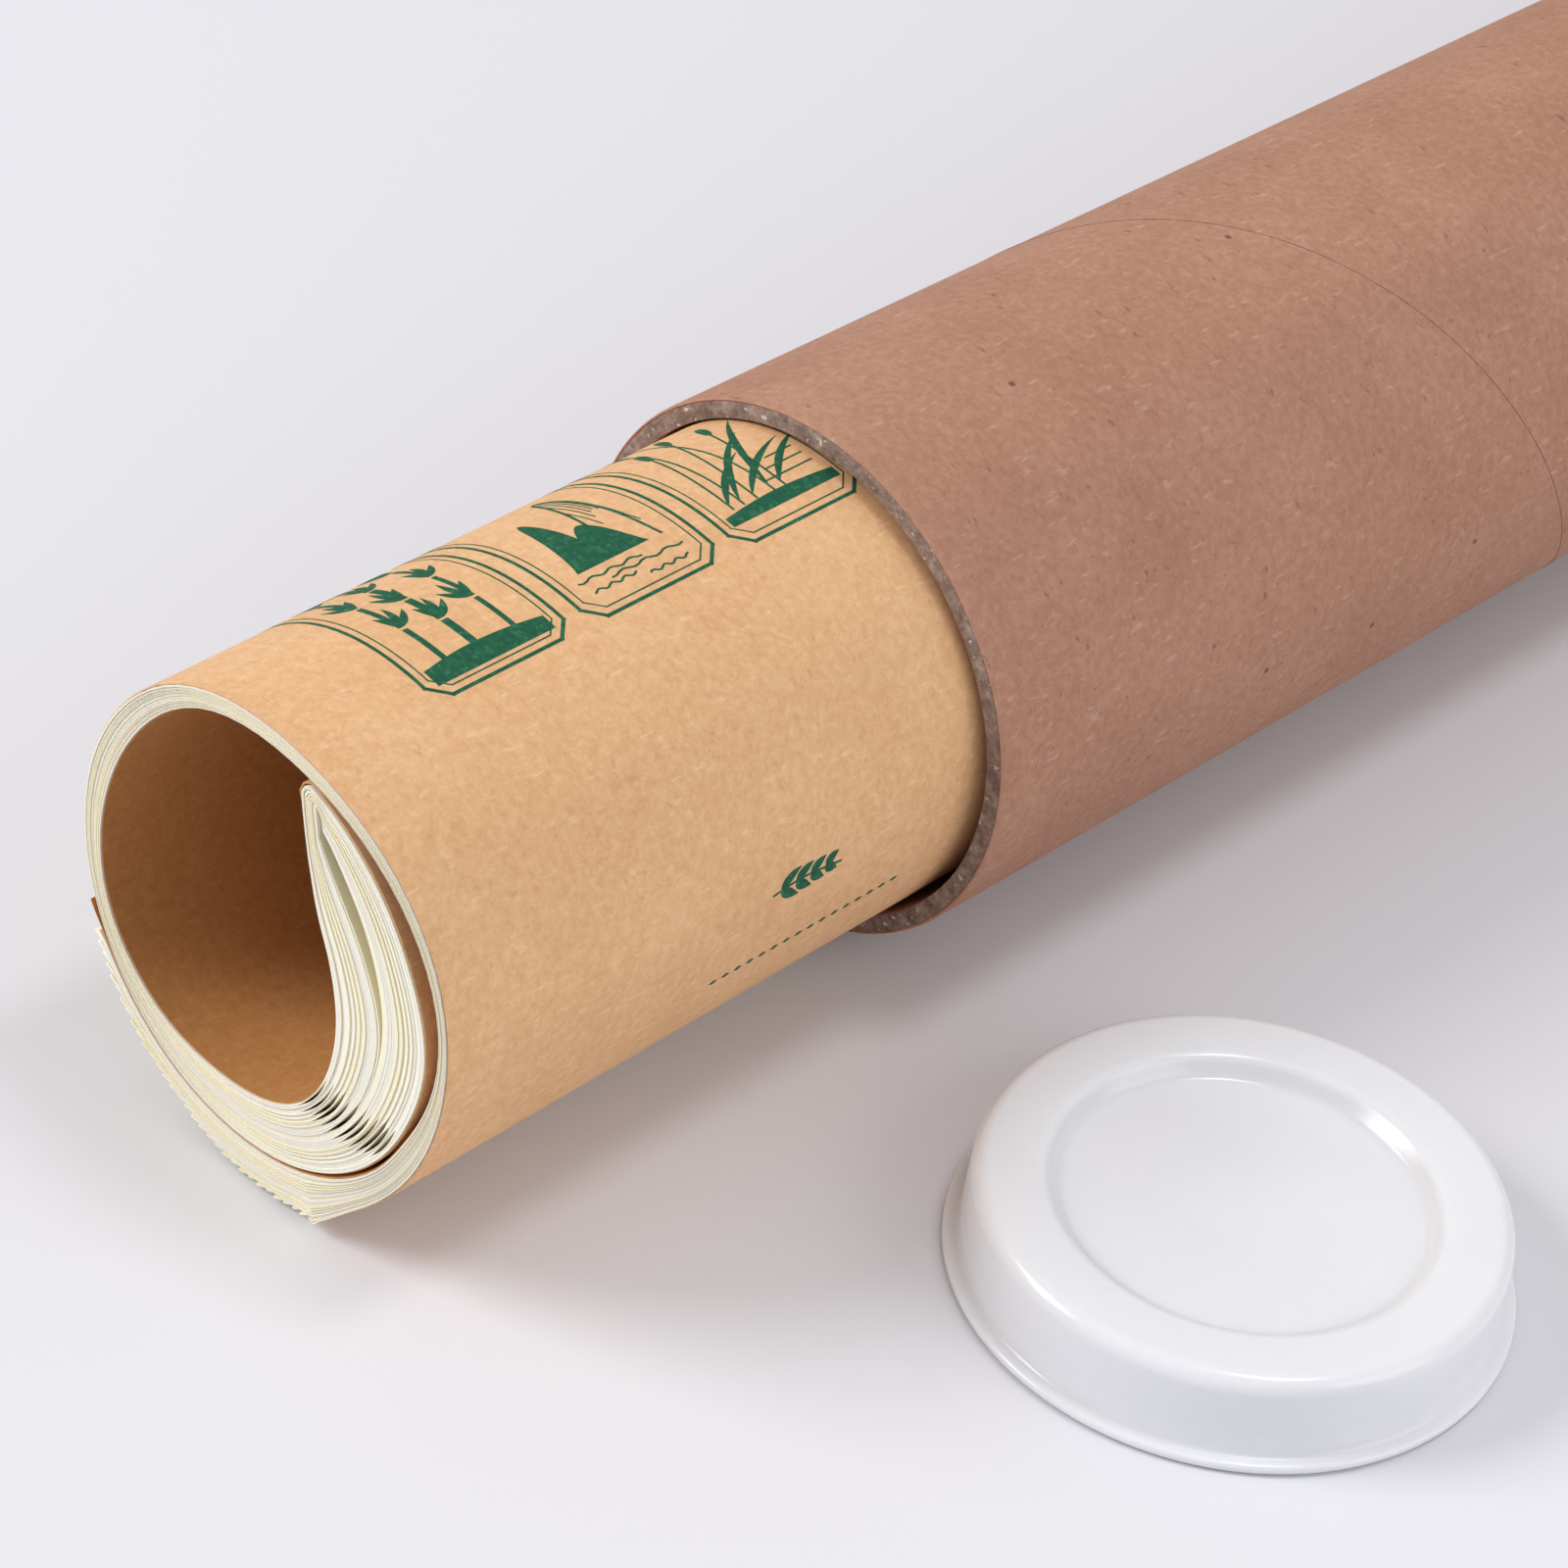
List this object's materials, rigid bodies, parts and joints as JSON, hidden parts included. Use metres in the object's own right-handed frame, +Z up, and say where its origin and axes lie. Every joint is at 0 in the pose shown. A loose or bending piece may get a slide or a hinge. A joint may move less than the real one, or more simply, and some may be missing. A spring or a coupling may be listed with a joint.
{
  "type": "mailing tube",
  "caption": "Round cardboard mailing tube lying open, with a rolled soft-cover book standing out of its mouth, one plastic plug beside it and one in the far end.",
  "frame": {"origin": "middle of the footprint of the whole part, on the table that it lies on", "axes": "+Y along the tube from its open mouth to its plugged end, +Z up, +X from the tube towards the plug beside it"},
  "size_m": [0.1732, 0.5482, 0.08],
  "materials": {
    "tube_board": "matt brown recycled kraft",
    "plug_plastic": "milky, slightly see-through",
    "cover_card": "uncoated kraft, printed dark green",
    "page_paper": "uncoated cream paper"
  },
  "bodies": {
    "tube_with_book": {"tube": "tube_board", "rolled_book_cover": "cover_card", "rolled_book_pages": "page_paper", "near_end_cap": "plug_plastic"},
    "far_plug": {"far_end_cap": "plug_plastic"}
  },
  "joints": [
    {"name": "far_plug_pull", "type": "slide", "parent": "tube_with_book", "child": "far_plug", "axis": [0, 1, 0], "range_m": [0, 0.03]}
  ]
}
